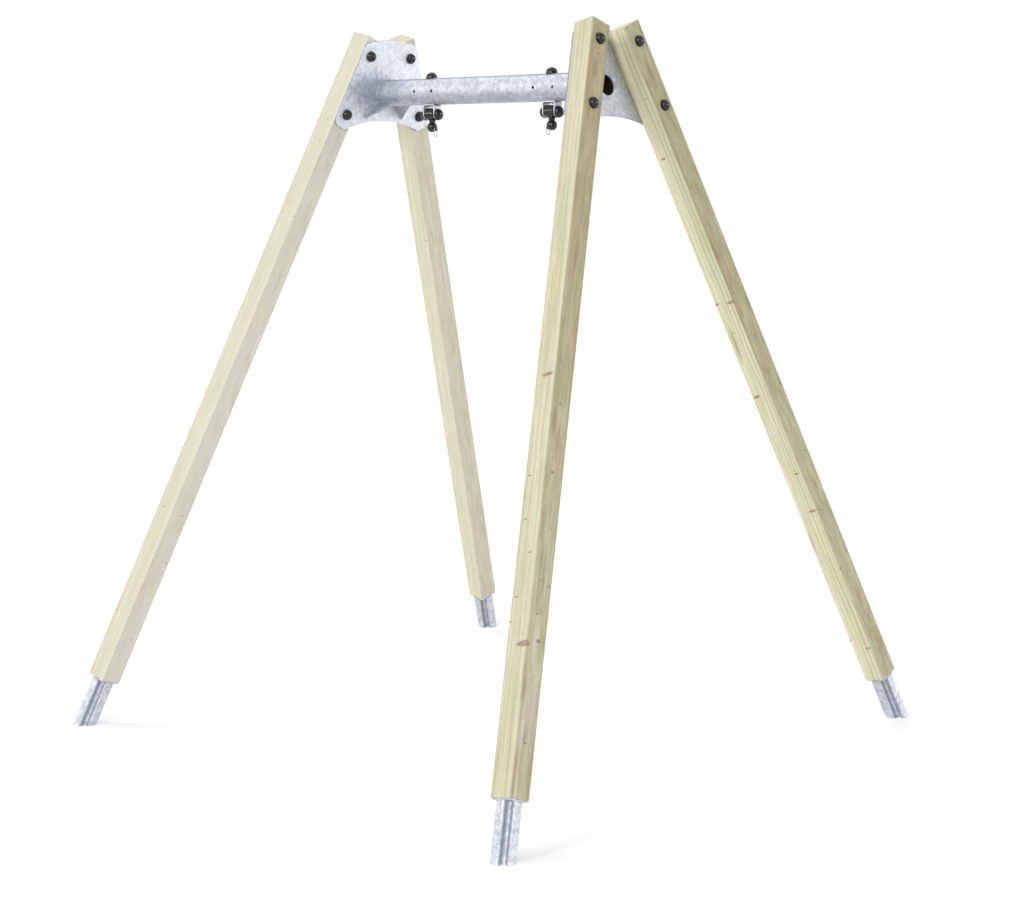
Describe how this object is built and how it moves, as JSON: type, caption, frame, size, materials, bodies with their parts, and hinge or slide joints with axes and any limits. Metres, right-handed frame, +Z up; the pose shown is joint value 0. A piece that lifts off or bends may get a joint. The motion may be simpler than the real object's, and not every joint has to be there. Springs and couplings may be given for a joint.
{
  "type": "a-frame swing",
  "caption": "Playground A-frame swing frame with timber posts, galvanised crossbar, end plates and footings, and two swivelling swing hangers, without seats",
  "frame": {"origin": "on the ground, midway between the four footings", "axes": "+Z up; +X along the crossbar, from the left hanger to the right one; -Y is the front"},
  "size_m": [2.5412, 2.4996, 2.8652],
  "materials": {
    "pine": "pressure-treated pine, planed, faintly green, matt",
    "galvanised_steel": "hot-dip galvanised steel with spangle, satin",
    "zinc_plated_steel": "bright zinc-plated steel",
    "black_plastic": "moulded black plastic, semi-gloss",
    "stainless_steel": "bright stainless wire and bolt"
  },
  "bodies": {
    "frame": {"crossbar_tube": "galvanised_steel", "end_plate_left": "galvanised_steel", "gusset_left_front": "galvanised_steel", "post_left_front": "pine", "footing_left_front": "galvanised_steel", "bolt_left_front_upper": "zinc_plated_steel", "plate_cap_left_front_upper": "black_plastic", "post_cap_left_front_upper": "black_plastic", "bolt_left_front_lower": "zinc_plated_steel", "plate_cap_left_front_lower": "black_plastic", "post_cap_left_front_lower": "black_plastic", "gusset_left_back": "galvanised_steel", "post_left_back": "pine", "footing_left_back": "galvanised_steel", "bolt_left_back_upper": "zinc_plated_steel", "plate_cap_left_back_upper": "black_plastic", "post_cap_left_back_upper": "black_plastic", "bolt_left_back_lower": "zinc_plated_steel", "plate_cap_left_back_lower": "black_plastic", "post_cap_left_back_lower": "black_plastic", "bracket_left": "galvanised_steel", "bracket_bolt_left": "zinc_plated_steel", "bar_cap_left": "black_plastic", "axle_bolt_left": "zinc_plated_steel", "axle_cap_left_outer": "black_plastic", "axle_cap_left_inner": "black_plastic", "end_plate_right": "galvanised_steel", "gusset_right_front": "galvanised_steel", "post_right_front": "pine", "footing_right_front": "galvanised_steel", "bolt_right_front_upper": "zinc_plated_steel", "plate_cap_right_front_upper": "black_plastic", "post_cap_right_front_upper": "black_plastic", "bolt_right_front_lower": "zinc_plated_steel", "plate_cap_right_front_lower": "black_plastic", "post_cap_right_front_lower": "black_plastic", "gusset_right_back": "galvanised_steel", "post_right_back": "pine", "footing_right_back": "galvanised_steel", "bolt_right_back_upper": "zinc_plated_steel", "plate_cap_right_back_upper": "black_plastic", "post_cap_right_back_upper": "black_plastic", "bolt_right_back_lower": "zinc_plated_steel", "plate_cap_right_back_lower": "black_plastic", "post_cap_right_back_lower": "black_plastic", "bracket_right": "galvanised_steel", "bracket_bolt_right": "zinc_plated_steel", "bar_cap_right": "black_plastic", "axle_bolt_right": "zinc_plated_steel", "axle_cap_right_outer": "black_plastic", "axle_cap_right_inner": "black_plastic"},
    "hub_left": {"hub_left": "black_plastic", "swivel_bolt_left": "stainless_steel"},
    "ball_left": {"ball_left": "black_plastic"},
    "bail_left": {"bail_left": "stainless_steel"},
    "hub_right": {"hub_right": "black_plastic", "swivel_bolt_right": "stainless_steel"},
    "ball_right": {"ball_right": "black_plastic"},
    "bail_right": {"bail_right": "stainless_steel"}
  },
  "joints": [
    {"name": "swing_left", "type": "hinge", "parent": "frame", "child": "hub_left", "pos_m": [-0.338, 0, 2.521], "axis": [1, 0, 0], "range_deg": [-90, 90]},
    {"name": "swivel_left", "type": "hinge", "parent": "hub_left", "child": "ball_left", "pos_m": [-0.338, 0, 2.47], "axis": [0, 0, 1], "continuous": true},
    {"name": "bail_swing_left", "type": "hinge", "parent": "ball_left", "child": "bail_left", "pos_m": [-0.317, 0, 2.464], "axis": [0, -1, 0], "range_deg": [-10, 150]},
    {"name": "swing_right", "type": "hinge", "parent": "frame", "child": "hub_right", "pos_m": [0.338, 0, 2.521], "axis": [1, 0, 0], "range_deg": [-90, 90]},
    {"name": "swivel_right", "type": "hinge", "parent": "hub_right", "child": "ball_right", "pos_m": [0.338, 0, 2.47], "axis": [0, 0, 1], "continuous": true},
    {"name": "bail_swing_right", "type": "hinge", "parent": "ball_right", "child": "bail_right", "pos_m": [0.317, 0, 2.464], "axis": [0, 1, 0], "range_deg": [-10, 150]}
  ]
}
